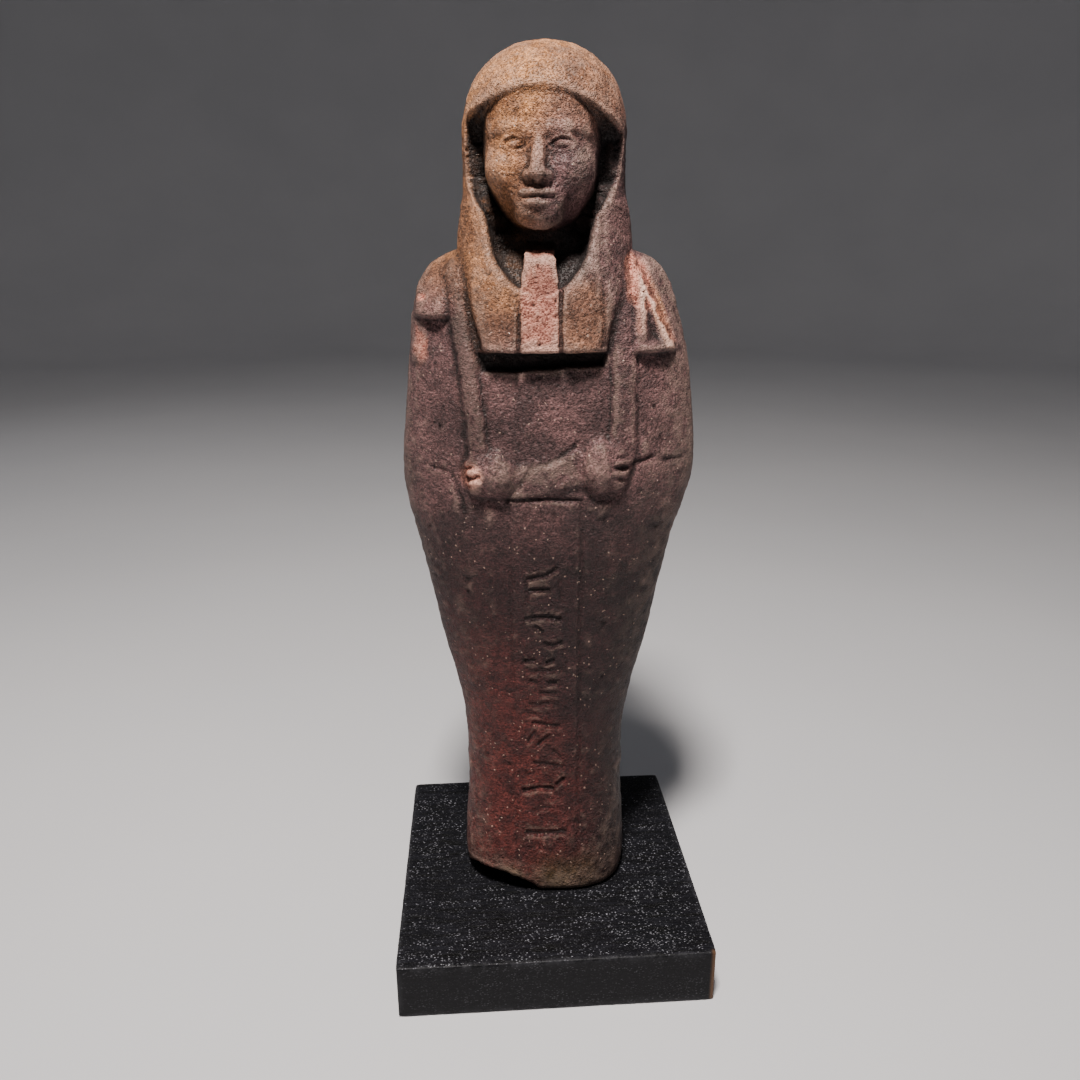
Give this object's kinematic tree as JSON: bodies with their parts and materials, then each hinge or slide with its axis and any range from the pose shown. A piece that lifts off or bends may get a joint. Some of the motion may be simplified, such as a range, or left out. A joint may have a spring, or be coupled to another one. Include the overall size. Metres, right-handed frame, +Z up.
{
  "type": "funerary figurine on a stand",
  "caption": "Mummy-shaped standing figurine with a plain wig, crossed arms and two hoes, resting on a low square block.",
  "frame": {"origin": "centre of the stand's underside", "axes": "+Z up along the figure, the stand's sides along X and Y, the figure faces -Y turned 4.2 degrees towards -X"},
  "size_m": [0.06, 0.06, 0.1695],
  "materials": {
    "fired_paste": "grainy fired siliceous paste, matte with glinting grains, ochre at the head to maroon at the foot",
    "black_wood": "open-grained wood stained black, satin"
  },
  "bodies": {
    "root": {"ushabti_figurine": "fired_paste", "wooden_stand": "black_wood"}
  },
  "joints": []
}
